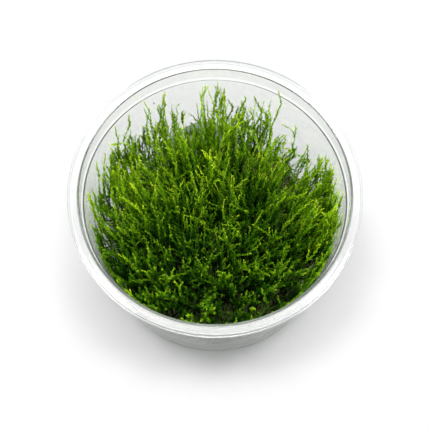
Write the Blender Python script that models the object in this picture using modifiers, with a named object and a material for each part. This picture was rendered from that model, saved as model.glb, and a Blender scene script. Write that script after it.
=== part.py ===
"""A clump of aquatic moss standing in its clear culture cup, in metres, +Z up.

The origin is the centre of the circle that the cup stands on. From the bottom up: the cup, the
nutrient gel that was poured into it, the mat of old tangled stems at the foot of the moss, and
the tufts of living shoots that stand on the mat and fan outwards.
"""

import math

import bmesh
import bpy

MM = 0.001

# Driving dimensions of the cup, in millimetres. Radii of the wall are those of its inner face.
CUP_HEIGHT = 59.0
WALL_THICKNESS = 0.7
RIM_OUTER_RADIUS = 50.5
RIM_INNER_RADIUS = 46.5
RIM_SKIRT_HEIGHT = 2.6
RIM_INNER_ROUND = 0.7
RIM_OUTER_ROUND = 0.9
LEDGE_RADIUS = 45.1
LEDGE_DEPTH = 5.8
LEDGE_WIDTH = 0.9
LEDGE_RISE = 0.6
WALL_FOOT_RADIUS = 38.9
WALL_FOOT_HEIGHT = 3.2
FOOT_RING_INNER_RADIUS = 35.2
FOOT_RING_OUTER_RADIUS = 36.8
FLOOR_RADIUS = 34.0
FLOOR_HEIGHT = 2.2
TURN_STEPS = 64

# Space left between pieces that touch.
CLEARANCE = 0.35

# The gel, and the lump of it that stuck to the wall at the back.
GEL_TOP = 11.0
GEL_FOOT_RADIUS = 36.9
GEL_FOOT_RISE = 2.0
LUMP_ANGLE = math.radians(97.0)
LUMP_RISE = 15.5
LUMP_HALF_WIDTH = 11.0
LUMP_THICKNESS = 3.2
LUMP_CREST_SHARE = 0.56

# The mat of old stems.
MAT_RADIUS = 36.2
MAT_CENTRE_Y = -1.4
MAT_TOP = 18.0
MAT_EDGE_ROUND = 1.2
MAT_UNEVENNESS = 0.8
MAT_WAVES = 7

# The tufts: their feet spiral out over the mat, they fan out from a line near the front, and
# their tips lie on a low dome.
TUFT_COUNT = 36
TUFT_FIELD_RADIUS = 30.0
TUFT_FIELD_CENTRE_Y = -3.5
TUFT_RADIUS = 3.7
TUFT_TIP_SHARE = 0.1
TUFT_STRAIGHT_SHARE = 0.04
TUFT_FAN = 0.34
TUFT_FAN_CENTRE_Y = -22.0
TUFT_SWAY = 1.3
TUFT_SHORTFALL = 2.2
DOME_TOP = 52.0
DOME_DROP = 9.5
DOME_RADIUS = 42.6
GOLDEN_ANGLE = math.pi * (3.0 - math.sqrt(5.0))
TUFT_POINTS = 7


def clear_scene():
    for obj in list(bpy.data.objects):
        bpy.data.objects.remove(obj)


def make_material(name, colour, roughness, alpha=1.0):
    material = bpy.data.materials.new(name)
    material.use_nodes = True
    shader = material.node_tree.nodes["Principled BSDF"]
    shader.inputs["Base Color"].default_value = (*colour, 1.0)
    shader.inputs["Roughness"].default_value = roughness
    shader.inputs["Alpha"].default_value = alpha
    return material


def add_object(name, data, material, collection, parent):
    obj = bpy.data.objects.new(name, data)
    obj.data.materials.append(material)
    collection.objects.link(obj)
    obj.parent = parent
    return obj


def wall_radius(height):
    """Inner radius of the cup's straight wall at a height, in millimetres."""
    top = CUP_HEIGHT - LEDGE_DEPTH
    share = (height - WALL_FOOT_HEIGHT) / (top - WALL_FOOT_HEIGHT)
    return WALL_FOOT_RADIUS + share * (LEDGE_RADIUS - WALL_FOOT_RADIUS)


def arc(centre, radii, start, end, steps):
    """Points of an elliptical arc in the (radius, height) plane, both ends included."""
    points = []
    for i in range(steps + 1):
        angle = math.radians(start + (end - start) * i / steps)
        points.append((centre[0] + radii[0] * math.cos(angle), centre[1] + radii[1] * math.sin(angle)))
    return points


def cup_profile():
    """The cup's inner and upper face, from the floor's centre out to the skirt's lower edge."""
    ledge = CUP_HEIGHT - LEDGE_DEPTH
    corner = (WALL_FOOT_RADIUS - FOOT_RING_OUTER_RADIUS, WALL_FOOT_HEIGHT - WALL_THICKNESS)
    points = [(0.0, FLOOR_HEIGHT), (FLOOR_RADIUS, FLOOR_HEIGHT)]
    points.append((FOOT_RING_INNER_RADIUS, WALL_THICKNESS))
    points += arc((FOOT_RING_OUTER_RADIUS, WALL_FOOT_HEIGHT), corner, -90, 0, 3)
    points += [(LEDGE_RADIUS, ledge), (LEDGE_RADIUS + LEDGE_WIDTH, ledge + LEDGE_RISE)]
    inner_centre = (RIM_INNER_RADIUS + RIM_INNER_ROUND, CUP_HEIGHT - RIM_INNER_ROUND)
    points += arc(inner_centre, (RIM_INNER_ROUND, RIM_INNER_ROUND), 180, 90, 2)
    outer_centre = (RIM_OUTER_RADIUS - RIM_OUTER_ROUND, CUP_HEIGHT - RIM_OUTER_ROUND)
    points += arc(outer_centre, (RIM_OUTER_ROUND, RIM_OUTER_ROUND), 90, 0, 2)
    points.append((RIM_OUTER_RADIUS, CUP_HEIGHT - RIM_SKIRT_HEIGHT))
    return points


def make_cup(material, collection, parent):
    """A thermoformed shell of even thickness: one profile, turned, then given its wall."""
    points = cup_profile()
    mesh = bpy.data.meshes.new("cup")
    vertices = [(radius * MM, 0.0, height * MM) for radius, height in points]
    edges = [(i, i + 1) for i in range(len(points) - 1)]
    mesh.from_pydata(vertices, edges, [])
    cup = add_object("cup", mesh, material, collection, parent)
    turn = cup.modifiers.new("turn", "SCREW")
    turn.steps = turn.render_steps = TURN_STEPS
    turn.use_merge_vertices = True
    turn.merge_threshold = 0.00001
    turn.use_smooth_shade = True
    wall = cup.modifiers.new("wall", "SOLIDIFY")
    wall.thickness = WALL_THICKNESS * MM
    wall.use_even_offset = True
    wall.offset = -1.0
    return cup


def lump_share(angle):
    """How much of the lump stands at an angle round the cup, from 0 to 1."""
    turn = math.remainder(angle - LUMP_ANGLE, math.tau)
    return math.exp(-((turn * WALL_FOOT_RADIUS / LUMP_HALF_WIDTH) ** 2))


def turned_solid(points):
    """A closed solid of revolution as a bmesh, from a profile that starts and ends on the axis."""
    bm = bmesh.new()
    corners = [bm.verts.new((radius, 0.0, height)) for radius, height in points]
    edges = [bm.edges.new(pair) for pair in zip(corners, corners[1:])]
    bmesh.ops.spin(
        bm,
        geom=corners + edges,
        cent=(0.0, 0.0, 0.0),
        axis=(0.0, 0.0, 1.0),
        angle=math.tau,
        steps=TURN_STEPS,
        use_merge=True,
    )
    bmesh.ops.remove_doubles(bm, verts=bm.verts, dist=0.001)
    bmesh.ops.recalc_face_normals(bm, faces=bm.faces)
    return bm


def finish_turned(bm, name, sharp_degrees):
    """Scales a bmesh from millimetres to metres and shades its round faces smooth."""
    bmesh.ops.scale(bm, vec=(MM, MM, MM), verts=bm.verts)
    mesh = bpy.data.meshes.new(name)
    bm.to_mesh(mesh)
    bm.free()
    mesh.shade_smooth()
    mesh.set_sharp_from_angle(angle=math.radians(sharp_degrees))
    return mesh


def make_gel(material, collection, parent):
    """A disc of set jelly that fills the cup's foot, with the lump climbing the wall."""
    bottom = FLOOR_HEIGHT + CLEARANCE
    edge = wall_radius(GEL_TOP) - CLEARANCE
    lump_foot = edge - LUMP_THICKNESS
    lump_crest = lump_foot + LUMP_CREST_SHARE * LUMP_THICKNESS
    profile = [(0.0, GEL_TOP), (lump_foot, GEL_TOP), (lump_crest, GEL_TOP), (edge, GEL_TOP)]
    profile.append((wall_radius(bottom + GEL_FOOT_RISE) - CLEARANCE, bottom + GEL_FOOT_RISE))
    profile += [(GEL_FOOT_RADIUS, bottom), (0.0, bottom)]
    bm = turned_solid(profile)
    for vert in bm.verts:
        radius = math.hypot(vert.co.x, vert.co.y)
        near_wall = (radius - lump_foot) / LUMP_THICKNESS
        if vert.co.z < GEL_TOP - CLEARANCE or near_wall < CLEARANCE:
            continue
        share = lump_share(math.atan2(vert.co.y, vert.co.x))
        vert.co.z += LUMP_RISE * share * math.sqrt(near_wall)
        moved = 1.0 + (wall_radius(vert.co.z) - wall_radius(GEL_TOP)) / radius
        vert.co.x *= moved
        vert.co.y *= moved
    return add_object("nutrient_gel", finish_turned(bm, "nutrient_gel", 35), material, collection, parent)


def make_mat(material, collection, parent):
    """The mat: a thick pad with a rounded, slightly uneven edge."""
    bottom = GEL_TOP + CLEARANCE
    middle = (bottom + MAT_TOP) / 2.0
    shoulder = MAT_RADIUS - MAT_EDGE_ROUND
    profile = [(0.0, MAT_TOP), (shoulder, MAT_TOP), (MAT_RADIUS, middle), (shoulder, bottom), (0.0, bottom)]
    bm = turned_solid(profile)
    for vert in bm.verts:
        angle = math.atan2(vert.co.y, vert.co.x)
        wave = 1.0 - MAT_UNEVENNESS / MAT_RADIUS * (0.5 + 0.5 * math.sin(MAT_WAVES * angle))
        vert.co.x = vert.co.x * wave
        vert.co.y = vert.co.y * wave + MAT_CENTRE_Y
    return add_object("stem_mat", finish_turned(bm, "stem_mat", 60), material, collection, parent)


def dome_height(radius):
    """Height of the dome that the tufts' tips lie on."""
    return DOME_TOP - DOME_DROP * (radius / DOME_RADIUS) ** 2


def make_tuft(index, material, collection, parent):
    """One tuft: a round body that stands on the mat, leans outwards and rounds off at its tip."""
    angle = index * GOLDEN_ANGLE
    foot_radius = TUFT_FIELD_RADIUS * math.sqrt((index + 0.5) / TUFT_COUNT)
    foot_x = foot_radius * math.cos(angle)
    foot_y = foot_radius * math.sin(angle) + TUFT_FIELD_CENTRE_Y
    foot_height = MAT_TOP + CLEARANCE
    lean = TUFT_FAN * math.hypot(foot_x, foot_y - TUFT_FAN_CENTRE_Y)
    lean_angle = math.atan2(foot_y - TUFT_FAN_CENTRE_Y, foot_x)
    tip_radius = math.hypot(foot_x + lean * math.cos(lean_angle), foot_y + lean * math.sin(lean_angle))
    sway = TUFT_SWAY * math.sin(2.3 * index)
    shortfall = TUFT_SHORTFALL * math.sin(1.7 * index) ** 2
    height = dome_height(tip_radius) - shortfall - foot_height
    curve = bpy.data.curves.new(f"moss_tuft_{index + 1:02d}", "CURVE")
    curve.dimensions = "3D"
    curve.bevel_depth = TUFT_RADIUS * MM
    curve.bevel_resolution = 2
    curve.use_fill_caps = True
    spline = curve.splines.new("POLY")
    # It starts upright, and the points draw closer together towards the tip, which rounds off.
    shares = [1.0 - (1.0 - number / (TUFT_POINTS - 1)) ** 1.6 for number in range(TUFT_POINTS)]
    shares.insert(1, TUFT_STRAIGHT_SHARE)
    spline.points.add(TUFT_POINTS)
    for share, point in zip(shares, spline.points):
        bend = max(0.0, (share - TUFT_STRAIGHT_SHARE) / (1.0 - TUFT_STRAIGHT_SHARE)) ** 1.5
        point.co = (lean * bend * MM, sway * bend * MM, height * share * MM, 1.0)
        widening = 1.0 + TUFT_FAN * bend
        point.radius = widening * max(TUFT_TIP_SHARE, math.sqrt(1.0 - share**3))
    tuft = add_object(curve.name, curve, material, collection, parent)
    tuft.location = (foot_x * MM, foot_y * MM, foot_height * MM)
    tuft.rotation_euler = (0.0, 0.0, lean_angle)
    return tuft


def main():
    clear_scene()
    collection = bpy.data.collections.new("moss_clump")
    bpy.context.scene.collection.children.link(collection)
    root = bpy.data.objects.new("moss_clump_root", None)
    collection.objects.link(root)

    clear_plastic = make_material("clear_polypropylene", (0.93, 0.95, 0.95), 0.12, alpha=0.3)
    jelly = make_material("set_nutrient_gel", (0.62, 0.74, 0.66), 0.25, alpha=0.6)
    old_stems = make_material("old_moss_stems", (0.10, 0.09, 0.03), 0.8)
    live_moss = make_material("live_moss", (0.14, 0.28, 0.02), 0.6)

    make_cup(clear_plastic, collection, root)
    make_gel(jelly, collection, root)
    make_mat(old_stems, collection, root)
    for index in range(TUFT_COUNT):
        make_tuft(index, live_moss, collection, root)


main()
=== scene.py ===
import math

import bmesh
import bpy
from mathutils import Matrix, Vector


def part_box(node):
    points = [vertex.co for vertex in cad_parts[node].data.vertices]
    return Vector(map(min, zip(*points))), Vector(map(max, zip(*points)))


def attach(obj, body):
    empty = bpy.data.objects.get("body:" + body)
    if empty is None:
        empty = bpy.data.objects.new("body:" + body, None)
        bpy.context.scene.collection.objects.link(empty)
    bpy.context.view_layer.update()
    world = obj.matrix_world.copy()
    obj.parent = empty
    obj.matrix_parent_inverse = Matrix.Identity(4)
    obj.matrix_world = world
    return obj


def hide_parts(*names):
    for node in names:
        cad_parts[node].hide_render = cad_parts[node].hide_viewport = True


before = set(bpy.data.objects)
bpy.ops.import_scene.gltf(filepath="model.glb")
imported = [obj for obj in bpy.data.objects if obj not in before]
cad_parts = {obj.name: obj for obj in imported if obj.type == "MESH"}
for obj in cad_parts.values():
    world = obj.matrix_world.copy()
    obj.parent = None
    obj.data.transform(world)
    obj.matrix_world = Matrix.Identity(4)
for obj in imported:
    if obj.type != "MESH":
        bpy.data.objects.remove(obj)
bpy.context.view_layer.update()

MM = 0.001
TURN_STEPS = 160

# In millimetres: (radius, height) of the ends of the cup's inner wall.
WALL_FOOT = (38.9, 3.2)
WALL_HEAD = (45.1, 53.2)

# The gel, in millimetres, and its lump: where round the wall, how wide, how high, how far inward.
GEL_FLOOR = 2.4
GEL_TOP = 11.0
GEL_GAP = 0.15
LUMP_ANGLE = math.radians(99.0)
LUMP_HALF_WIDTH = 12.0
LUMP_HEIGHT = 15.0
LUMP_REACH = 3.2

# The tufts' field, in millimetres: its middle, and how far from there the outer tufts begin.
FIELD_CENTRE_Y = -3.5
OUTER_FIELD = 22.0

# How often shoots, side shoots and old stems sway and kink, per metre.
SWAYS_ACROSS = 260
SWAYS_UP = 45
KINKS_UP = 120.0
TWIG_KINKS = 220.0
STEM_KINKS = 160.0
KINK_STARTS = (61, 47, 53)

# Shares of a shoot's length: where a curl begins, and where side shoots fork and how long they are.
CURL_FROM = 0.72
FORKS = (0.4, 0.93)
SIDE_SHOOT_SHARE = (0.1, 0.28)

# How far the tip of a side shoot turns up, in metres.
TWIG_LIFT = 0.002

# A leaf, where its length is 1: half its width, how far it is flattened, and how far it stands out.
LEAF_HALF_WIDTH = 0.36
LEAF_FLATNESS = 0.5
LEAF_TILT = math.radians(36)
GOLDEN_TURN = 2.39996
LEAF_TONE_SEED = 5
LEAF_SIZE_SEED = 9


# ---------------------------------------------------------------- small helpers


def linear(code):
    """An sRGB hex colour as the linear RGBA that Blender's sockets hold."""
    channels = [int(code[i : i + 2], 16) / 255 for i in (1, 3, 5)]
    return (*[c / 12.92 if c <= 0.04045 else ((c + 0.055) / 1.055) ** 2.4 for c in channels], 1.0)


def node(tree, kind, inputs=None, **settings):
    """Adds a node. An input is named or numbered, and takes a value or another node's output."""
    made = tree.nodes.new(kind)
    for name, value in settings.items():
        setattr(made, name, value)
    for key, value in (inputs or {}).items():
        if isinstance(key, int):
            socket = made.inputs[key]
        else:
            socket = next(s for s in made.inputs if s.name == key and s.enabled)
        if isinstance(value, bpy.types.NodeSocket):
            tree.links.new(value, socket)
        else:
            socket.default_value = value
    return made


def maths(tree, how, *values):
    return node(tree, "ShaderNodeMath", dict(enumerate(values)), operation=how)


def vectors(tree, how, *values):
    return node(tree, "ShaderNodeVectorMath", dict(enumerate(values)), operation=how)


def scaled(tree, vector, factor):
    return node(tree, "ShaderNodeVectorMath", {0: vector, "Scale": factor}, operation="SCALE")


def draw_between(tree, low, high, number, seed):
    """A random value for each point: a vector where the limits are vectors, or else a number."""
    kind = "FLOAT_VECTOR" if isinstance(low, tuple) else "FLOAT"
    inputs = {"Min": low, "Max": high, "ID": number, "Seed": seed}
    return node(tree, "FunctionNodeRandomValue", inputs, data_type=kind)


def store(tree, geometry, name, value, kind="FLOAT", domain="POINT"):
    inputs = {"Geometry": geometry, "Name": name, "Value": value}
    return node(tree, "GeometryNodeStoreNamedAttribute", inputs, data_type=kind, domain=domain)


def stored(tree, name, kind="FLOAT"):
    return node(tree, "GeometryNodeInputNamedAttribute", {"Name": name}, data_type=kind).outputs[0]


def new_tree(name, inputs):
    """A Geometry Nodes tree with named inputs, and the node that holds them."""
    tree = bpy.data.node_groups.new(name, "GeometryNodeTree")
    tree.interface.new_socket("Geometry", in_out="INPUT", socket_type="NodeSocketGeometry")
    for label, kind in inputs.items():
        tree.interface.new_socket(label, in_out="INPUT", socket_type="NodeSocket" + kind)
    tree.interface.new_socket("Geometry", in_out="OUTPUT", socket_type="NodeSocketGeometry")
    return tree, node(tree, "NodeGroupInput").outputs


def grow(name, tree, mesh, values):
    """Runs a tree on a mesh and returns the result as a plain mesh object."""
    piece = bpy.data.objects.new(name, mesh)
    bpy.context.scene.collection.objects.link(piece)
    modifier = piece.modifiers.new(name, "NODES")
    modifier.node_group = tree
    for item in tree.interface.items_tree:
        if item.in_out == "INPUT" and item.name in values:
            modifier[item.identifier] = values[item.name]
    evaluated = piece.evaluated_get(bpy.context.evaluated_depsgraph_get())
    plain = bpy.data.meshes.new_from_object(evaluated)
    piece.modifiers.remove(modifier)
    piece.data = plain
    for extra in ("lot", "growth", "light_and_tone", "leaf", "side"):
        if extra in plain.attributes:
            plain.attributes.remove(plain.attributes[extra])
    return piece


def new_material(name):
    material = bpy.data.materials.new(name)
    material.use_nodes = True
    tree = material.node_tree
    return material, tree, tree.nodes["Principled BSDF"]


# ---------------------------------------------------------------- materials


def lamps_shine_through(tree, surface, code):
    """Gives a see-through material its surface, and a faint shadow of the given colour."""
    path = node(tree, "ShaderNodeLightPath")
    through = node(tree, "ShaderNodeBsdfTransparent", {"Color": linear(code)})
    both = node(
        tree,
        "ShaderNodeMixShader",
        {0: path.outputs["Is Shadow Ray"], 1: surface, 2: through.outputs["BSDF"]},
    )
    tree.links.new(both.outputs["Shader"], tree.nodes["Material Output"].inputs["Surface"])


def make_moss_leaf():
    """Living moss leaf, one cell thick and faintly waxy: near black-green and olive low down, which is
    partly old leaf and partly painted shade deep in the clump, a clear yellow-green at the young tips,
    and each shoot and leaf a little off the next, with painted light on the tall and curled shoots."""
    material, tree, shader = new_material("living_moss_leaf")
    # Across the map lies the shoot's age, pushed down by painted shade on short shoots and up by painted
    # light on open tufts; up it lies the leaf's tone.
    place = node(tree, "ShaderNodeUVMap", uv_map="OFBake")
    parts = node(tree, "ShaderNodeSeparateXYZ", {"Vector": place.outputs["UV"]})
    growth, light_and_tone = parts.outputs["X"], parts.outputs["Y"]
    age_and_shade_ramp = node(tree, "ShaderNodeValToRGB", {"Fac": growth})
    # The ages, from the old foot to the young tip: the dark stops low down are painted shade deep in the
    # clump as well as old leaf colour.
    age_and_shade_stops = [
        (0.0, "#1C1402"),
        (0.3, "#0E2200"),
        (0.48, "#1A4000"),
        (0.66, "#3B7500"),
        (0.82, "#78AD05"),
        (0.96, "#C4DC30"),
    ]
    for position, code in age_and_shade_stops[1:-1]:
        age_and_shade_ramp.color_ramp.elements.new(position)
    for element, (position, code) in zip(age_and_shade_ramp.color_ramp.elements, age_and_shade_stops):
        element.position = position
        element.color = linear(code)
    # Painted light and shade: the tone darkens or brightens each leaf's colour and turns the lit ones
    # yellower; part of it is chance.
    shade = node(tree, "ShaderNodeMapRange", {"Value": light_and_tone, "To Min": 0.22, "To Max": 1.5})
    turn = node(tree, "ShaderNodeMapRange", {"Value": light_and_tone, "To Min": 0.525, "To Max": 0.482})
    varied = node(
        tree,
        "ShaderNodeHueSaturation",
        {"Hue": turn.outputs[0], "Value": shade.outputs[0], "Color": age_and_shade_ramp.outputs["Color"]},
    )
    tree.links.new(varied.outputs["Color"], shader.inputs["Base Color"])
    shader.inputs["Roughness"].default_value = 0.65
    shader.inputs["IOR"].default_value = 1.42
    shader.inputs["Specular IOR Level"].default_value = 0.25
    # A leaf this thin glows with the light behind it, and yellower than its face.
    glow = node(
        tree, "ShaderNodeHueSaturation", {"Hue": 0.49, "Value": 1.5, "Color": varied.outputs["Color"]}
    )
    through = node(tree, "ShaderNodeBsdfTranslucent", {"Color": glow.outputs["Color"]})
    both = node(
        tree, "ShaderNodeMixShader", {0: 0.4, 1: shader.outputs["BSDF"], 2: through.outputs["BSDF"]}
    )
    tree.links.new(both.outputs["Shader"], tree.nodes["Material Output"].inputs["Surface"])
    return material


def make_old_stem():
    """Old moss stems, brown and olive and wet, with dull fibres."""
    material, tree, shader = new_material("old_moss_stem")
    place = node(tree, "ShaderNodeTexCoord")
    patches = node(
        tree,
        "ShaderNodeTexNoise",
        {"Vector": place.outputs["Object"], "Scale": 900.0, "Detail": 3.0},
    )
    colour = node(tree, "ShaderNodeValToRGB", {"Fac": patches.outputs["Fac"]})
    colour.color_ramp.elements[0].position = 0.35
    colour.color_ramp.elements[0].color = linear("#20200A")
    colour.color_ramp.elements[1].position = 0.65
    colour.color_ramp.elements[1].color = linear("#6C8230")
    tree.links.new(colour.outputs["Color"], shader.inputs["Base Color"])
    shader.inputs["Roughness"].default_value = 0.8
    return material


def make_clear_plastic():
    """Clear polypropylene sheet drawn hot into a mould: glossy, with the faintest haze."""
    material, tree, shader = new_material("clear_drawn_polypropylene")
    shader.inputs["Base Color"].default_value = linear("#FFFFFF")
    shader.inputs["Roughness"].default_value = 0.04
    shader.inputs["IOR"].default_value = 1.49
    shader.inputs["Transmission Weight"].default_value = 0.96
    lamps_shine_through(tree, shader.outputs["BSDF"], "#FCFCFC")
    # The sheet is grey where the eye looks along it, at the skirt and the corners.
    grey = node(tree, "ShaderNodeVolumeAbsorption", {"Color": linear("#E0E4E2"), "Density": 250.0})
    tree.links.new(grey.outputs["Volume"], tree.nodes["Material Output"].inputs["Volume"])
    return material


def make_gel():
    """Set nutrient gel: cloudy, watery, and streaked with olive fibres of old moss that have grown
    into it just under its surface."""
    material, tree, shader = new_material("set_agar_gel")
    place = node(tree, "ShaderNodeTexCoord")
    parts = node(tree, "ShaderNodeSeparateXYZ", {"Vector": place.outputs["Object"]})
    patches = node(tree, "ShaderNodeTexNoise", {"Vector": place.outputs["Object"], "Scale": 150.0})
    wavy = maths(tree, "MULTIPLY", patches.outputs["Fac"], 0.006)
    level = maths(tree, "ADD", parts.outputs["Z"], wavy.outputs[0])
    top = GEL_TOP * MM
    depth = node(
        tree,
        "ShaderNodeMapRange",
        {"Value": level.outputs[0], "From Min": top - 0.5 * MM, "From Max": top + 1.5 * MM},
    )
    above = node(
        tree,
        "ShaderNodeMapRange",
        {
            "Value": parts.outputs["Z"],
            "From Min": top + 0.2 * MM,
            "From Max": top + 2.5 * MM,
            "To Min": 1.0,
            "To Max": 0.0,
        },
    )
    band = maths(tree, "MULTIPLY", depth.outputs[0], above.outputs[0])
    stretched = vectors(tree, "MULTIPLY", place.outputs["Object"], (1, 1, 3))
    fibres = node(
        tree,
        "ShaderNodeTexNoise",
        {"Vector": stretched.outputs[0], "Scale": 420.0, "Detail": 4.0, "Distortion": 1.5},
    )
    sharp = node(
        tree, "ShaderNodeMapRange", {"Value": fibres.outputs["Fac"], "From Min": 0.4, "From Max": 0.56}
    )
    share = maths(tree, "MULTIPLY", sharp.outputs[0], band.outputs[0])
    colour = node(tree, "ShaderNodeValToRGB", {"Fac": share.outputs[0]})
    colour.color_ramp.elements[0].color = linear("#D3DBCC")
    colour.color_ramp.elements[1].color = linear("#5C6236")
    tree.links.new(colour.outputs["Color"], shader.inputs["Base Color"])
    shader.inputs["Roughness"].default_value = 0.4
    shader.inputs["IOR"].default_value = 1.34
    shader.inputs["Transmission Weight"].default_value = 0.25
    # Where the gel is thin, as on the wall, the light behind it shows.
    glow = node(tree, "ShaderNodeBsdfTranslucent", {"Color": linear("#E6EFE2")})
    lit = node(tree, "ShaderNodeMixShader", {0: 0.45, 1: shader.outputs["BSDF"], 2: glow.outputs["BSDF"]})
    lamps_shine_through(tree, lit.outputs["Shader"], "#E4EBE6")
    return material


def make_crumb():
    """A crumb of dried moss stuck to the wall: near black and dull."""
    material, tree, shader = new_material("dried_moss_crumb")
    place = node(tree, "ShaderNodeTexCoord")
    grain = node(tree, "ShaderNodeTexNoise", {"Vector": place.outputs["Object"], "Scale": 5000.0})
    colour = node(tree, "ShaderNodeValToRGB", {"Fac": grain.outputs["Fac"]})
    colour.color_ramp.elements[0].color = linear("#15130C")
    colour.color_ramp.elements[1].color = linear("#3B3620")
    tree.links.new(colour.outputs["Color"], shader.inputs["Base Color"])
    shader.inputs["Roughness"].default_value = 0.8
    return material


def make_paper():
    """Matt pale grey paper, which the lamps bring up to white."""
    material, tree, shader = new_material("matt_pale_grey_studio_paper")
    shader.inputs["Base Color"].default_value = linear("#C8C8C8")
    shader.inputs["Roughness"].default_value = 0.9
    shader.inputs["Specular IOR Level"].default_value = 0.1
    return material


# ---------------------------------------------------------------- node trees


def make_wall_tree():
    """Keeps whatever it is given inside the cup's tapered wall, less a margin."""
    tree, given = new_tree("stay_inside_wall", {"Margin": "Float"})
    place = node(tree, "GeometryNodeInputPosition")
    parts = node(tree, "ShaderNodeSeparateXYZ", {0: place.outputs[0]})
    wall = node(
        tree,
        "ShaderNodeMapRange",
        {
            "Value": parts.outputs["Z"],
            "From Min": WALL_FOOT[1] * MM,
            "From Max": WALL_HEAD[1] * MM,
            "To Min": WALL_FOOT[0] * MM,
            "To Max": WALL_HEAD[0] * MM,
        },
    )
    reach = maths(tree, "SUBTRACT", wall.outputs[0], given["Margin"])
    flat = vectors(tree, "MULTIPLY", place.outputs[0], (1, 1, 0))
    radius = vectors(tree, "LENGTH", flat.outputs[0])
    share = maths(tree, "DIVIDE", reach.outputs[0], radius.outputs["Value"])
    held = maths(tree, "MINIMUM", share.outputs[0], 1.0)
    scale = node(tree, "ShaderNodeCombineXYZ", {0: held.outputs[0], 1: held.outputs[0], 2: 1.0})
    moved = vectors(tree, "MULTIPLY", place.outputs[0], scale.outputs[0])
    kept = node(
        tree, "GeometryNodeSetPosition", {"Geometry": given["Geometry"], "Position": moved.outputs[0]}
    )
    node(tree, "NodeGroupOutput", {"Geometry": kept.outputs[0]})
    return tree


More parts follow.
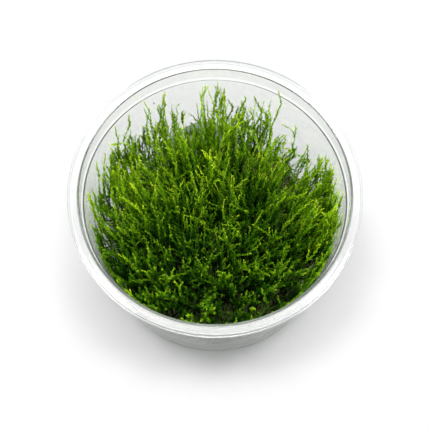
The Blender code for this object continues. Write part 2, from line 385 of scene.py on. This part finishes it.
def make_tuft_tree(wall_tree):
    """A tuft of moss: wavy shoots with side shoots, and small pointed leaves spiralling up each."""
    tree, given = new_tree(
        "moss_tuft",
        {
            "Shoots": "Int",
            "Foot": "Vector",
            "Spread": "Float",
            "Height": "Float",
            "Shortest": "Float",
            "Tallest": "Float",
            "Rarity": "Float",
            "Lean": "Vector",
            "Widen": "Float",
            "Bundle": "Float",
            "Wave": "Float",
            "Curl": "Float",
            "Side Shoots": "Int",
            "Stem Radius": "Float",
            "Leaf Length": "Float",
            "Leaf Spacing": "Float",
            "Bare Share": "Float",
            "Painted Light Age Shift": "Float",
            "Shaded Span": "Float",
            "Sunlit Span": "Float",
            "Dimmest": "Float",
            "Brightest": "Float",
            "Margin": "Float",
            "Seed": "Int",
            "Material": "Material",
        },
    )
    index = node(tree, "GeometryNodeInputIndex").outputs[0]
    share = node(tree, "GeometryNodeSplineParameter").outputs["Factor"]
    lot = stored(tree, "lot", "FLOAT_VECTOR")
    growth = stored(tree, "growth")

    # The feet: points spread evenly over a disc.
    draw = draw_between(tree, (0, 0, 0), (1, 1, 1), index, given["Seed"])
    drawn = node(tree, "ShaderNodeSeparateXYZ", {0: draw.outputs[0]})
    root = maths(tree, "POWER", drawn.outputs[0], 0.5)
    radius = maths(tree, "MULTIPLY", root.outputs[0], given["Spread"])
    turn = maths(tree, "MULTIPLY", drawn.outputs[1], math.tau)
    out = node(tree, "ShaderNodeCombineXYZ", {0: radius.outputs[0]})
    turned = node(
        tree,
        "ShaderNodeVectorRotate",
        {"Vector": out.outputs[0], "Angle": turn.outputs[0]},
        rotation_type="Z_AXIS",
    )
    foot = vectors(tree, "ADD", turned.outputs[0], given["Foot"])
    feet = node(tree, "GeometryNodePoints", {"Count": given["Shoots"], "Position": foot.outputs[0]})

    # The shoots: one upright line on each foot, then bent into place point by point.
    line = node(tree, "GeometryNodeCurvePrimitiveLine", {"Start": (0, 0, 0), "End": (0, 0, 1)})
    stem = node(tree, "GeometryNodeResampleCurve", {"Curve": line.outputs[0], "Count": 11})
    planted = node(
        tree,
        "GeometryNodeInstanceOnPoints",
        {"Points": feet.outputs[0], "Instance": stem.outputs[0]},
    )
    shoots = node(tree, "GeometryNodeRealizeInstances", {"Geometry": planted.outputs[0]})
    own = draw_between(tree, (0, 0, 0), (1, 1, 1), index, given["Seed"])
    lots = store(tree, shoots.outputs[0], "lot", own.outputs[0], kind="FLOAT_VECTOR", domain="CURVE")
    chance = node(tree, "ShaderNodeSeparateXYZ", {0: lot})
    place = node(tree, "GeometryNodeInputPosition").outputs[0]
    rise = node(tree, "ShaderNodeCombineXYZ", {2: share})
    start = vectors(tree, "SUBTRACT", place, rise.outputs[0])
    off = vectors(tree, "SUBTRACT", start.outputs[0], given["Foot"])
    away = vectors(tree, "LENGTH", off.outputs[0])
    edge = maths(tree, "DIVIDE", away.outputs["Value"], given["Spread"])

    # Most shoots stay below the tuft's top, those at its edge a little more, and a few outgrow it.
    few = maths(tree, "POWER", chance.outputs[2], given["Rarity"])
    tall = node(
        tree,
        "ShaderNodeMapRange",
        {"Value": few.outputs[0], "To Min": given["Shortest"], "To Max": given["Tallest"]},
    )
    edged = maths(tree, "MULTIPLY_ADD", edge.outputs[0], -0.1, tall.outputs[0])
    length = maths(tree, "MULTIPLY", edged.outputs[0], given["Height"])
    up = maths(tree, "MULTIPLY", length.outputs[0], share)
    square = maths(tree, "MULTIPLY", share, share)
    bend = maths(tree, "MULTIPLY", square.outputs[0], edged.outputs[0])
    leaning = scaled(tree, given["Lean"], bend.outputs[0])
    wide = maths(tree, "MULTIPLY", given["Widen"], share)
    widened = scaled(tree, off.outputs[0], wide.outputs[0])

    # Neighbours sway the same way, which draws them into bundles with gaps between.
    climb = node(tree, "ShaderNodeCombineXYZ", {2: up.outputs[0]})
    ground = vectors(tree, "MULTIPLY", start.outputs[0], (SWAYS_ACROSS, SWAYS_ACROSS, 0))
    slow = vectors(tree, "MULTIPLY", climb.outputs[0], (0, 0, SWAYS_UP))
    there = vectors(tree, "ADD", ground.outputs[0], slow.outputs[0])
    drift = node(tree, "ShaderNodeTexNoise", {"Vector": there.outputs[0], "Scale": 1.0, "Detail": 0.0})
    drifted = vectors(tree, "SUBTRACT", drift.outputs["Color"], (0.5, 0.5, 0.5))
    pull = maths(tree, "MULTIPLY", given["Bundle"], share)
    bundled = scaled(tree, drifted.outputs[0], pull.outputs[0])
    # Each shoot also has kinks of its own, growing from nothing at the foot.
    walk = vectors(tree, "MULTIPLY", lot, KINK_STARTS)
    along = scaled(tree, climb.outputs[0], KINKS_UP)
    spot = vectors(tree, "ADD", walk.outputs[0], along.outputs[0])
    noise = node(
        tree,
        "ShaderNodeTexNoise",
        {"Vector": spot.outputs[0], "Scale": 1.0, "Detail": 2.0, "Roughness": 0.6},
    )
    centred = vectors(tree, "SUBTRACT", noise.outputs["Color"], (0.5, 0.5, 0.5))
    swing = maths(tree, "MULTIPLY", given["Wave"], share)
    waved = scaled(tree, centred.outputs[0], swing.outputs[0])
    # About one shoot in five curls over at its tip.
    late = node(tree, "ShaderNodeMapRange", {"Value": share, "From Min": CURL_FROM, "From Max": 1.0})
    later = maths(tree, "POWER", late.outputs[0], 1.6)
    curly = node(
        tree, "ShaderNodeMapRange", {"Value": chance.outputs[0], "From Min": 0.7, "From Max": 0.85}
    )
    hook = maths(tree, "MULTIPLY", later.outputs[0], curly.outputs[0])
    hooked = maths(tree, "MULTIPLY", hook.outputs[0], given["Curl"])
    side_on = node(
        tree, "ShaderNodeMapRange", {"Value": chance.outputs[1], "To Min": -math.pi, "To Max": math.pi}
    )
    hook_way = node(
        tree,
        "ShaderNodeVectorRotate",
        {"Vector": (1.0, 0.0, -0.8), "Angle": side_on.outputs[0]},
        rotation_type="Z_AXIS",
    )
    curl = scaled(tree, hook_way.outputs[0], hooked.outputs[0])
    total = vectors(tree, "ADD", start.outputs[0], leaning.outputs[0])
    total = vectors(tree, "ADD", total.outputs[0], curl.outputs[0])
    total = vectors(tree, "ADD", total.outputs[0], widened.outputs[0])
    total = vectors(tree, "ADD", total.outputs[0], bundled.outputs[0])
    total = vectors(tree, "ADD", total.outputs[0], waved.outputs[0])
    total = vectors(tree, "ADD", total.outputs[0], climb.outputs[0])
    bent = node(
        tree, "GeometryNodeSetPosition", {"Geometry": lots.outputs[0], "Position": total.outputs[0]}
    )
    main = store(tree, bent.outputs[0], "growth", share)

    # The side shoots, each from a random place on the upper half of its own shoot.
    count = maths(tree, "MULTIPLY", given["Shoots"], given["Side Shoots"])
    mother = maths(tree, "DIVIDE", index, given["Side Shoots"])
    whole = maths(tree, "FLOOR", mother.outputs[0])
    fork = draw_between(tree, FORKS[0], FORKS[1], index, given["Seed"])
    sample = node(
        tree,
        "GeometryNodeSampleCurve",
        {
            "Curves": main.outputs[0],
            "Value": lot,
            "Factor": fork.outputs[1],
            "Curve Index": whole.outputs[0],
        },
        mode="FACTOR",
        data_type="FLOAT_VECTOR",
    )
    forks = node(
        tree,
        "GeometryNodePoints",
        {"Count": count.outputs[0], "Position": sample.outputs["Position"]},
    )
    stray = draw_between(tree, (-0.4, -0.4, 0.0), (0.4, 0.4, 0.5), index, given["Seed"])
    aim = vectors(tree, "ADD", sample.outputs["Tangent"], stray.outputs[0])
    point = node(tree, "FunctionNodeAlignRotationToVector", {"Vector": aim.outputs[0]}, axis="Z")
    size = draw_between(tree, SIDE_SHOOT_SHARE[0], SIDE_SHOOT_SHARE[1], index, given["Seed"])
    long = maths(tree, "MULTIPLY", size.outputs[1], given["Height"])
    twig = node(tree, "GeometryNodeResampleCurve", {"Curve": line.outputs[0], "Count": 6})
    set_out = node(
        tree,
        "GeometryNodeInstanceOnPoints",
        {
            "Points": forks.outputs[0],
            "Instance": twig.outputs[0],
            "Rotation": point.outputs[0],
            "Scale": long.outputs[0],
        },
    )
    twigs = node(tree, "GeometryNodeRealizeInstances", {"Geometry": set_out.outputs[0]})
    twig_lots = store(
        tree, twigs.outputs[0], "lot", sample.outputs[0], kind="FLOAT_VECTOR", domain="CURVE"
    )
    young = node(tree, "ShaderNodeMapRange", {"Value": share, "To Min": 0.6, "To Max": 1.0})
    aged = store(tree, twig_lots.outputs[0], "growth", young.outputs[0])
    lift = maths(tree, "MULTIPLY", square.outputs[0], TWIG_LIFT)
    lifted = node(tree, "ShaderNodeCombineXYZ", {2: lift.outputs[0]})
    shake = scaled(tree, place, TWIG_KINKS)
    twig_noise = node(tree, "ShaderNodeTexNoise", {"Vector": shake.outputs[0], "Scale": 1.0, "Detail": 1.0})
    twig_centred = vectors(tree, "SUBTRACT", twig_noise.outputs["Color"], (0.5, 0.5, 0.5))
    twig_waved = scaled(tree, twig_centred.outputs[0], swing.outputs[0])
    shift = vectors(tree, "ADD", lifted.outputs[0], twig_waved.outputs[0])
    curled = node(
        tree, "GeometryNodeSetPosition", {"Geometry": aged.outputs[0], "Offset": shift.outputs[0]}
    )
    joined = node(tree, "GeometryNodeJoinGeometry")
    tree.links.new(curled.outputs[0], joined.inputs[0])
    tree.links.new(main.outputs[0], joined.inputs[0])
    inside = node(
        tree,
        "GeometryNodeGroup",
        {"Geometry": joined.outputs[0], "Margin": given["Margin"]},
        node_tree=wall_tree,
    )

    # The stems: thin three-sided rods that taper to the tip.
    taper = node(tree, "ShaderNodeMapRange", {"Value": growth, "To Min": 1.2, "To Max": 0.45})
    thin = maths(tree, "MULTIPLY", taper.outputs[0], given["Stem Radius"])
    ring = node(tree, "GeometryNodeCurvePrimitiveCircle", {"Resolution": 3, "Radius": 1.0})
    round_it = vectors(tree, "DOT_PRODUCT", place, (1.0, 0.5, 0.0))
    sided = store(tree, ring.outputs[0], "side", round_it.outputs["Value"])
    sized = node(
        tree, "GeometryNodeSetCurveRadius", {"Curve": inside.outputs[0], "Radius": thin.outputs[0]}
    )
    rods = node(
        tree,
        "GeometryNodeCurveToMesh",
        {
            "Curve": sized.outputs[0],
            "Profile Curve": sided.outputs[0],
            "Scale": thin.outputs[0],
            "Fill Caps": True,
        },
    )
    # Painted light: the tall shoots are coloured brighter, as if more light fell on them, and a few others
    # are bright by chance.
    rare = maths(tree, "POWER", chance.outputs[1], 3.0)
    height_light_and_chance = maths(tree, "MULTIPLY_ADD", few.outputs[0], 0.8, rare.outputs[0])
    lit = node(
        tree,
        "ShaderNodeMapRange",
        {
            "Value": height_light_and_chance.outputs[0],
            "From Max": 1.8,
            "To Min": given["Dimmest"],
            "To Max": given["Brightest"],
        },
    )
    calm = maths(tree, "MULTIPLY_ADD", lit.outputs[0], 0.42, 0.15)
    toned = store(tree, rods.outputs[0], "light_and_tone", calm.outputs[0])

    # The leaves: flat-sided cones that clasp the stem, a golden turn apart.
    beads = node(
        tree,
        "GeometryNodeCurveToPoints",
        {"Curve": inside.outputs[0], "Length": given["Leaf Spacing"]},
        mode="LENGTH",
    )
    bare = node(tree, "FunctionNodeCompare", {0: growth, 1: given["Bare Share"]}, operation="LESS_THAN")
    leafy = node(
        tree,
        "GeometryNodeDeleteGeometry",
        {"Geometry": beads.outputs[0], "Selection": bare.outputs[0]},
        domain="POINT",
    )
    # Painted highlight: leaves on curled shoots are coloured brighter; each leaf also gets a random fleck
    # of tone.
    fleck = draw_between(tree, 0.0, 0.36, index, LEAF_TONE_SEED)
    curl_highlight_and_fleck = maths(tree, "MULTIPLY_ADD", curly.outputs[0], 0.26, fleck.outputs[1])
    leaf_light_and_tone = maths(tree, "MULTIPLY_ADD", lit.outputs[0], 0.42, curl_highlight_and_fleck.outputs[0])
    spots = store(tree, leafy.outputs[0], "light_and_tone", leaf_light_and_tone.outputs[0])
    golden = maths(tree, "MULTIPLY", index, GOLDEN_TURN)
    spin = node(tree, "FunctionNodeAxisAngleToRotation", {"Axis": (0, 0, 1), "Angle": golden.outputs[0]})
    facing = node(
        tree,
        "FunctionNodeRotateRotation",
        {"Rotation": beads.outputs["Rotation"], "Rotate By": spin.outputs[0]},
        rotation_space="LOCAL",
    )
    cone = node(
        tree,
        "GeometryNodeMeshCone",
        {"Vertices": 3, "Radius Top": 0.0, "Radius Bottom": LEAF_HALF_WIDTH, "Depth": 1.0},
        fill_type="NGON",
    )
    tip = node(tree, "ShaderNodeSeparateXYZ", {0: place})
    marked = store(tree, cone.outputs[0], "leaf", tip.outputs[2])
    edges = vectors(tree, "DOT_PRODUCT", place, (3.3, 1.6, 0.0))
    leaf_sides = store(tree, marked.outputs[0], "side", edges.outputs["Value"])
    tilted = node(
        tree,
        "GeometryNodeTransform",
        {
            "Geometry": leaf_sides.outputs[0],
            "Rotation": (LEAF_TILT, 0, 0),
            "Scale": (1.0, LEAF_FLATNESS, 1.0),
        },
    )
    vary = draw_between(tree, 0.6, 1.35, index, LEAF_SIZE_SEED)
    small = node(
        tree,
        "ShaderNodeMapRange",
        {"Value": growth, "From Min": 0.85, "From Max": 1.0, "To Min": 1.0, "To Max": 0.6},
    )
    shrunk = maths(tree, "MULTIPLY", vary.outputs[1], small.outputs[0])
    leaf_size = maths(tree, "MULTIPLY", shrunk.outputs[0], given["Leaf Length"])
    set_leaves = node(
        tree,
        "GeometryNodeInstanceOnPoints",
        {
            "Points": spots.outputs[0],
            "Instance": tilted.outputs[0],
            "Rotation": facing.outputs[0],
            "Scale": leaf_size.outputs[0],
        },
    )
    leaves = node(tree, "GeometryNodeRealizeInstances", {"Geometry": set_leaves.outputs[0]})
    together = node(tree, "GeometryNodeJoinGeometry")
    tree.links.new(leaves.outputs[0], together.inputs[0])
    tree.links.new(toned.outputs[0], together.inputs[0])

    # The map the leaf colour is read from: age of the shoot across, shifted by painted light, and light or
    # dark leaf up.
    # Painted shade: shoots that stay short live in the others' shade, so their colour keeps the dark end of
    # the ages.
    shade_age_span = node(
        tree,
        "ShaderNodeMapRange",
        {"Value": few.outputs[0], "To Min": given["Shaded Span"], "To Max": given["Sunlit Span"]},
    )
    light_and_tone = stored(tree, "light_and_tone")
    leaf = stored(tree, "leaf")
    side = stored(tree, "side")
    across = maths(tree, "MULTIPLY_ADD", growth, shade_age_span.outputs[0], given["Painted Light Age Shift"])
    across = maths(tree, "MULTIPLY_ADD", leaf, 0.08, across.outputs[0])
    upward = maths(tree, "MULTIPLY_ADD", light_and_tone, 0.9, 0.04)
    upward = maths(tree, "MULTIPLY_ADD", side, 0.015, upward.outputs[0])
    both = node(tree, "ShaderNodeCombineXYZ", {0: across.outputs[0], 1: upward.outputs[0]})
    mapped = store(tree, together.outputs[0], "OFBake", both.outputs[0], kind="FLOAT2", domain="CORNER")
    whole_tuft = node(tree, "GeometryNodeRealizeInstances", {"Geometry": mapped.outputs[0]})
    dressed = node(
        tree,
        "GeometryNodeSetMaterial",
        {"Geometry": whole_tuft.outputs[0], "Material": given["Material"]},
    )
    node(tree, "NodeGroupOutput", {"Geometry": dressed.outputs[0]})
    return tree


def make_mat_tree(wall_tree):
    """The mat: old stems that lie across each other in every direction on a dark pad."""
    tree, given = new_tree(
        "stem_mat",
        {
            "Stems": "Int",
            "Radius": "Float",
            "Low": "Float",
            "High": "Float",
            "Stem Radius": "Float",
            "Seed": "Int",
            "Margin": "Float",
            "Material": "Material",
        },
    )
    index = node(tree, "GeometryNodeInputIndex").outputs[0]
    share = node(tree, "GeometryNodeSplineParameter").outputs["Factor"]
    place = node(tree, "GeometryNodeInputPosition").outputs[0]
    draw = draw_between(tree, (0, 0, 0), (1, 1, 1), index, given["Seed"])
    drawn = node(tree, "ShaderNodeSeparateXYZ", {0: draw.outputs[0]})
    root = maths(tree, "POWER", drawn.outputs[0], 0.32)
    radius = maths(tree, "MULTIPLY", root.outputs[0], given["Radius"])
    turn = maths(tree, "MULTIPLY", drawn.outputs[1], math.tau)
    level = node(
        tree,
        "ShaderNodeMapRange",
        {"Value": drawn.outputs[2], "To Min": given["Low"], "To Max": given["High"]},
    )
    out = node(tree, "ShaderNodeCombineXYZ", {0: radius.outputs[0], 2: level.outputs[0]})
    turned = node(
        tree,
        "ShaderNodeVectorRotate",
        {"Vector": out.outputs[0], "Angle": turn.outputs[0]},
        rotation_type="Z_AXIS",
    )
    points = node(tree, "GeometryNodePoints", {"Count": given["Stems"], "Position": turned.outputs[0]})
    heading = draw_between(tree, (-1, -1, -0.06), (1, 1, 0.06), index, given["Seed"])
    point = node(tree, "FunctionNodeAlignRotationToVector", {"Vector": heading.outputs[0]}, axis="Z")
    size = draw_between(tree, 0.008, 0.018, index, given["Seed"])
    line = node(tree, "GeometryNodeCurvePrimitiveLine", {"Start": (0, 0, -0.5), "End": (0, 0, 0.5)})
    cut = node(tree, "GeometryNodeResampleCurve", {"Curve": line.outputs[0], "Count": 10})
    laid = node(
        tree,
        "GeometryNodeInstanceOnPoints",
        {
            "Points": points.outputs[0],
            "Instance": cut.outputs[0],
            "Rotation": point.outputs[0],
            "Scale": size.outputs[1],
        },
    )
    stems = node(tree, "GeometryNodeRealizeInstances", {"Geometry": laid.outputs[0]})
    shake = scaled(tree, place, STEM_KINKS)
    noise = node(tree, "ShaderNodeTexNoise", {"Vector": shake.outputs[0], "Scale": 1.0, "Detail": 2.0})
    centred = vectors(tree, "SUBTRACT", noise.outputs["Color"], (0.5, 0.5, 0.5))
    moved = vectors(tree, "MULTIPLY", centred.outputs[0], (0.012, 0.012, 0.002))
    tangled = node(
        tree, "GeometryNodeSetPosition", {"Geometry": stems.outputs[0], "Offset": moved.outputs[0]}
    )
    inside = node(
        tree,
        "GeometryNodeGroup",
        {"Geometry": tangled.outputs[0], "Margin": given["Margin"]},
        node_tree=wall_tree,
    )
    ring = node(tree, "GeometryNodeCurvePrimitiveCircle", {"Resolution": 3, "Radius": 1.0})
    sized = node(
        tree, "GeometryNodeSetCurveRadius", {"Curve": inside.outputs[0], "Radius": given["Stem Radius"]}
    )
    rods = node(
        tree,
        "GeometryNodeCurveToMesh",
        {
            "Curve": sized.outputs[0],
            "Profile Curve": ring.outputs[0],
            "Scale": given["Stem Radius"],
            "Fill Caps": True,
        },
    )
    joined = node(tree, "GeometryNodeJoinGeometry")
    tree.links.new(rods.outputs[0], joined.inputs[0])
    tree.links.new(given["Geometry"], joined.inputs[0])
    all_of_it = node(tree, "GeometryNodeRealizeInstances", {"Geometry": joined.outputs[0]})
    dressed = node(
        tree,
        "GeometryNodeSetMaterial",
        {"Geometry": all_of_it.outputs[0], "Material": given["Material"]},
    )
    node(tree, "NodeGroupOutput", {"Geometry": dressed.outputs[0]})
    return tree


# ---------------------------------------------------------------- pieces


def between(first, last, share):
    return first + (last - first) * share


def gone(value, first, last):
    """How far a value has gone from the first to the last, from 0 to 1."""
    return min(1.0, max(0.0, (value - first) / (last - first)))


def turned_piece(name, profile, steps, material):
    """A piece of revolution from a profile of (radius, height) points in millimetres."""
    bm = bmesh.new()
    corners = [bm.verts.new((radius * MM, 0.0, height * MM)) for radius, height in profile]
    edges = [bm.edges.new(pair) for pair in zip(corners, corners[1:])]
    bmesh.ops.spin(
        bm,
        geom=corners + edges,
        cent=(0, 0, 0),
        axis=(0, 0, 1),
        angle=math.tau,
        steps=steps,
        use_merge=True,
    )
    bmesh.ops.remove_doubles(bm, verts=bm.verts, dist=0.000001)
    bmesh.ops.recalc_face_normals(bm, faces=bm.faces)
    mesh = bpy.data.meshes.new(name)
    bm.to_mesh(mesh)
    bm.free()
    mesh.shade_smooth()
    mesh.set_sharp_from_angle(angle=math.radians(40))
    piece = bpy.data.objects.new(name, mesh)
    bpy.context.scene.collection.objects.link(piece)
    mesh.materials.append(material)
    return piece


def rounded(points, reach, steps=3):
    """A (radius, height) path with each inner corner cut into a small curve."""
    smooth = [points[0]]
    for before, corner, after in zip(points, points[1:], points[2:]):
        a, b, c = Vector(before), Vector(corner), Vector(after)
        cut = min(reach, (a - b).length * 0.45, (c - b).length * 0.45)
        start = b + (a - b).normalized() * cut
        end = b + (c - b).normalized() * cut
        for i in range(steps + 1):
            t = i / steps
            smooth.append(tuple(start * (1 - t) ** 2 + b * 2 * t * (1 - t) + end * t**2))
    smooth.append(points[-1])
    return smooth


def make_cup(material):
    """The drawn cup: foot ring, tapered wall, ledge, flange and turned-down skirt."""
    inner = [
        (0.0, 2.2),
        (34.0, 2.2),
        (35.2, 0.7),
        (37.6, 0.7),
        (38.75, 1.9),
        (38.9, 3.2),
        (45.1, 53.2),
        (46.0, 53.8),
        (46.5, 59.0),
        (50.5, 59.0),
        (50.5, 56.4),
    ]
    outer = [
        (49.8, 56.4),
        (49.8, 58.3),
        (47.15, 58.3),
        (46.65, 53.3),
        (45.75, 52.75),
        (39.6, 3.2),
        (39.45, 1.6),
        (37.9, 0.0),
        (34.9, 0.0),
        (33.7, 1.5),
        (0.0, 1.5),
    ]
    profile = rounded(inner, 0.4) + rounded(outer, 0.3)
    return turned_piece("culture_cup", profile, TURN_STEPS, material)


def hump(angle):
    """The lump's rounded outline along the wall: 1 at its middle, fading to 0 on both sides."""
    turn = math.remainder(angle - LUMP_ANGLE, math.tau)
    return math.exp(-(abs(turn * WALL_FOOT[0] / LUMP_HALF_WIDTH) ** 2.8))


def wall_radius(height):
    share = (height - WALL_FOOT[1]) / (WALL_HEAD[1] - WALL_FOOT[1])
    return WALL_FOOT[0] + share * (WALL_HEAD[0] - WALL_FOOT[0])


def make_gel_piece(material):
    """The gel: level in the cup's foot, with the lump that climbed the wall at the back."""
    edge = wall_radius(GEL_TOP) - GEL_GAP
    rings = [0.0, 10.0, 20.0, 28.0, 34.0] + [edge - LUMP_REACH + 0.4 * i for i in range(8)] + [edge]
    profile = [(radius, GEL_TOP) for radius in rings]
    profile += [(wall_radius(height) - GEL_GAP, height) for height in (6.0, 3.4)]
    profile += [(37.2, GEL_FLOOR), (0.0, GEL_FLOOR)]
    gel = turned_piece("set_gel", profile, TURN_STEPS, material)
    for vert in gel.data.vertices:
        radius = math.hypot(vert.co.x, vert.co.y) / MM
        if vert.co.z < (GEL_TOP - 0.01) * MM:
            continue
        near = gone(radius, edge - LUMP_REACH, edge)
        angle = math.atan2(vert.co.y, vert.co.x)
        uneven = 1.0 + 0.06 * math.sin(9 * angle + 1.0) + 0.04 * math.sin(23 * angle)
        rise = LUMP_HEIGHT * hump(angle) * near**0.5 * uneven
        height = GEL_TOP + rise
        moved = (radius + (wall_radius(height) - wall_radius(GEL_TOP)) * near) / max(radius, 0.001)
        vert.co = (vert.co.x * moved, vert.co.y * moved, height * MM)
    return gel


def pad_mesh():
    """The mat's dark pad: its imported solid, merged and drawn in a little about its own middle."""
    low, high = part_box("stem_mat")
    middle = (low + high) / 2
    bm = bmesh.new()
    bm.from_mesh(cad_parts["stem_mat"].data)
    bmesh.ops.remove_doubles(bm, verts=bm.verts, dist=0.00001)
    bmesh.ops.scale(bm, vec=(0.96, 0.96, 0.8), space=Matrix.Translation(-middle), verts=bm.verts)
    mesh = bpy.data.meshes.new("pad")
    bm.to_mesh(mesh)
    bm.free()
    return mesh


def make_crumb_piece(material):
    """A crumb of dried moss, 0.45 mm across, on the inner wall at the back left."""
    bm = bmesh.new()
    bmesh.ops.create_icosphere(bm, subdivisions=2, radius=0.24 * MM)
    for number, vert in enumerate(bm.verts):
        vert.co *= 1.0 + 0.18 * math.sin(2.1 * number)
        vert.co += Vector((-21.7, 38.4, 48.3)) * MM
    mesh = bpy.data.meshes.new("wall_crumb")
    bm.to_mesh(mesh)
    bm.free()
    mesh.shade_smooth()
    mesh.materials.append(material)
    crumb = bpy.data.objects.new("wall_crumb", mesh)
    bpy.context.scene.collection.objects.link(crumb)
    return crumb


def foot_and_tip(name):
    """The middle of a tuft solid's foot and of its tip."""
    low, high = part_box(name)
    places = [v.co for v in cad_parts[name].data.vertices]
    foot = [p for p in places if p.z < low.z + 0.0001]
    tip = [p for p in places if p.z > high.z - 0.0004]
    return sum(foot, Vector()) / len(foot), sum(tip, Vector()) / len(tip)


def make_moss(material, wall_tree):
    """Every tuft solid's shoots. Those at the field's edge are sturdier and reach the wall."""
    tree = make_tuft_tree(wall_tree)
    tufts = sorted(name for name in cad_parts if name.startswith("moss_tuft_"))
    for number, name in enumerate(tufts):
        foot, tip = foot_and_tip(name)
        lean = tip - foot
        outward = Vector((foot.x, foot.y - FIELD_CENTRE_Y * MM, 0.0))
        outer = outward.length > OUTER_FIELD * MM
        # Painted light: outer tufts behind the middle stand against the pale wall, and are coloured as if
        # lit evenly, down to their feet.
        painted_light_share = gone(tip.y, -0.024, 0.014) if outer else 0.0
        back = gone(tip.y, 0.008, 0.03) if outer else 0.0
        if outer:
            foot += outward.normalized() * between(0.0058, 0.003, back)
        values = {
            "Shoots": round(between(80, 50, back)) if outer else 48,
            "Foot": (foot.x, foot.y, foot.z - 0.0015),
            "Spread": 0.0118 if outer else 0.0068,
            "Height": lean.z + 0.0015,
            "Shortest": between(0.6, 0.46, back) if outer else 0.44,
            "Tallest": 1.38 if tip.y > 0.02 else 1.22,
            "Rarity": 3.4 if tip.y > 0.02 else 2.4,
            "Lean": (lean.x, lean.y, 0.0),
            "Widen": 0.4,
            "Bundle": 0.014,
            "Wave": 0.005,
            "Curl": 0.006,
            "Side Shoots": 2,
            "Stem Radius": 0.00016 if outer else 0.00012,
            "Leaf Length": 0.00118 if outer else 0.00096,
            "Leaf Spacing": 0.00066,
            "Bare Share": between(0.3, 0.1, painted_light_share),
            # Painted light: tufts in the open are shifted up the ages, toward the bright tips.
            "Painted Light Age Shift": between(0.02 if tip.y < 0.0 else 0.08, 0.6, painted_light_share),
            "Shaded Span": between(0.6, 0.22, painted_light_share),
            "Sunlit Span": between(0.9, 0.31, painted_light_share),
            "Dimmest": between(0.0, 0.6, painted_light_share),
            "Brightest": between(1.8, 1.6, painted_light_share),
            "Margin": 0.0011,
            "Seed": 11 + number,
            "Material": material,
        }
        tuft = grow("moss_shoots_" + name[-2:], tree, bpy.data.meshes.new(name + "_seed"), values)
        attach(tuft, "root")
        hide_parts(name)


def make_mat(material, wall_tree):
    """The old stems that the living shoots grow out of."""
    tree = make_mat_tree(wall_tree)
    low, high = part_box("stem_mat")
    values = {
        "Stems": 850,
        "Radius": 0.0385,
        "Low": low.z + 0.0017,
        "High": high.z - 0.001,
        "Stem Radius": 0.00022,
        "Seed": 3,
        "Margin": 0.0006,
        "Material": material,
    }
    mat = grow("old_stem_mat", tree, pad_mesh(), values)
    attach(mat, "root")
    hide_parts("stem_mat")


# ---------------------------------------------------------------- studio


def make_studio(material):
    half = 1.2
    drop = -0.2 * MM
    mesh = bpy.data.meshes.new("studio_floor")
    corners = [(-half, -half, drop), (half, -half, drop), (half, half, drop), (-half, half, drop)]
    mesh.from_pydata(corners, [], [(0, 1, 2, 3)])
    mesh.materials.append(material)
    floor = bpy.data.objects.new("studio_floor", mesh)
    bpy.context.scene.collection.objects.link(floor)

    world = bpy.data.worlds.new("studio")
    world.use_nodes = True
    sky = world.node_tree
    way = node(sky, "ShaderNodeTexCoord")
    heights = node(sky, "ShaderNodeSeparateXYZ", {0: way.outputs["Generated"]})
    fade = node(sky, "ShaderNodeValToRGB", {"Fac": heights.outputs["Z"]})
    fade.color_ramp.elements[0].position = 0.05
    fade.color_ramp.elements[0].color = (0.8, 0.8, 0.8, 1)
    fade.color_ramp.elements[1].position = 0.6
    fade.color_ramp.elements[1].color = (1, 1, 1, 1)
    sky.links.new(fade.outputs["Color"], sky.nodes["Background"].inputs["Color"])
    sky.nodes["Background"].inputs["Strength"].default_value = 0.88
    bpy.context.scene.world = world

    def softbox(name, place, size, power):
        light = bpy.data.lights.new(name, "AREA")
        light.shape = "DISK"
        light.size = size
        light.energy = power
        lamp = bpy.data.objects.new(name, light)
        lamp.location = place
        lamp.rotation_euler = (Vector((0, 0, 0.03)) - lamp.location).to_track_quat("-Z", "Y").to_euler()
        bpy.context.scene.collection.objects.link(lamp)

    softbox("left_softbox", (-0.28, 0.07, 0.85), 0.25, 3.5)
    softbox("right_softbox", (0.28, 0.07, 0.85), 0.25, 3.5)
    softbox("top_softbox", (0.0, 0.15, 0.9), 0.3, 1.1)

    camera_data = bpy.data.cameras.new("camera")
    camera_data.sensor_width = 36.0
    camera_data.lens = 142.3
    camera_data.clip_start = 0.01
    camera_data.clip_end = 10.0
    camera = bpy.data.objects.new("camera", camera_data)
    aim = Vector((0, 0, 0.0377))
    elevation = math.radians(69.54)
    camera.location = aim + 0.6 * Vector((0, -math.cos(elevation), math.sin(elevation)))
    camera.rotation_euler = (aim - camera.location).to_track_quat("-Z", "Y").to_euler()
    bpy.context.scene.collection.objects.link(camera)
    bpy.context.scene.camera = camera
    bpy.context.scene.view_settings.view_transform = "Standard"


# ---------------------------------------------------------------- the whole


def main():
    make_studio(make_paper())
    wall_tree = make_wall_tree()

    cup = make_cup(make_clear_plastic())
    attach(cup, "root")
    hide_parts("cup")

    gel = make_gel_piece(make_gel())
    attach(gel, "root")
    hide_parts("nutrient_gel")

    make_mat(make_old_stem(), wall_tree)
    make_moss(make_moss_leaf(), wall_tree)

    crumb = make_crumb_piece(make_crumb())
    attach(crumb, "root")


main()
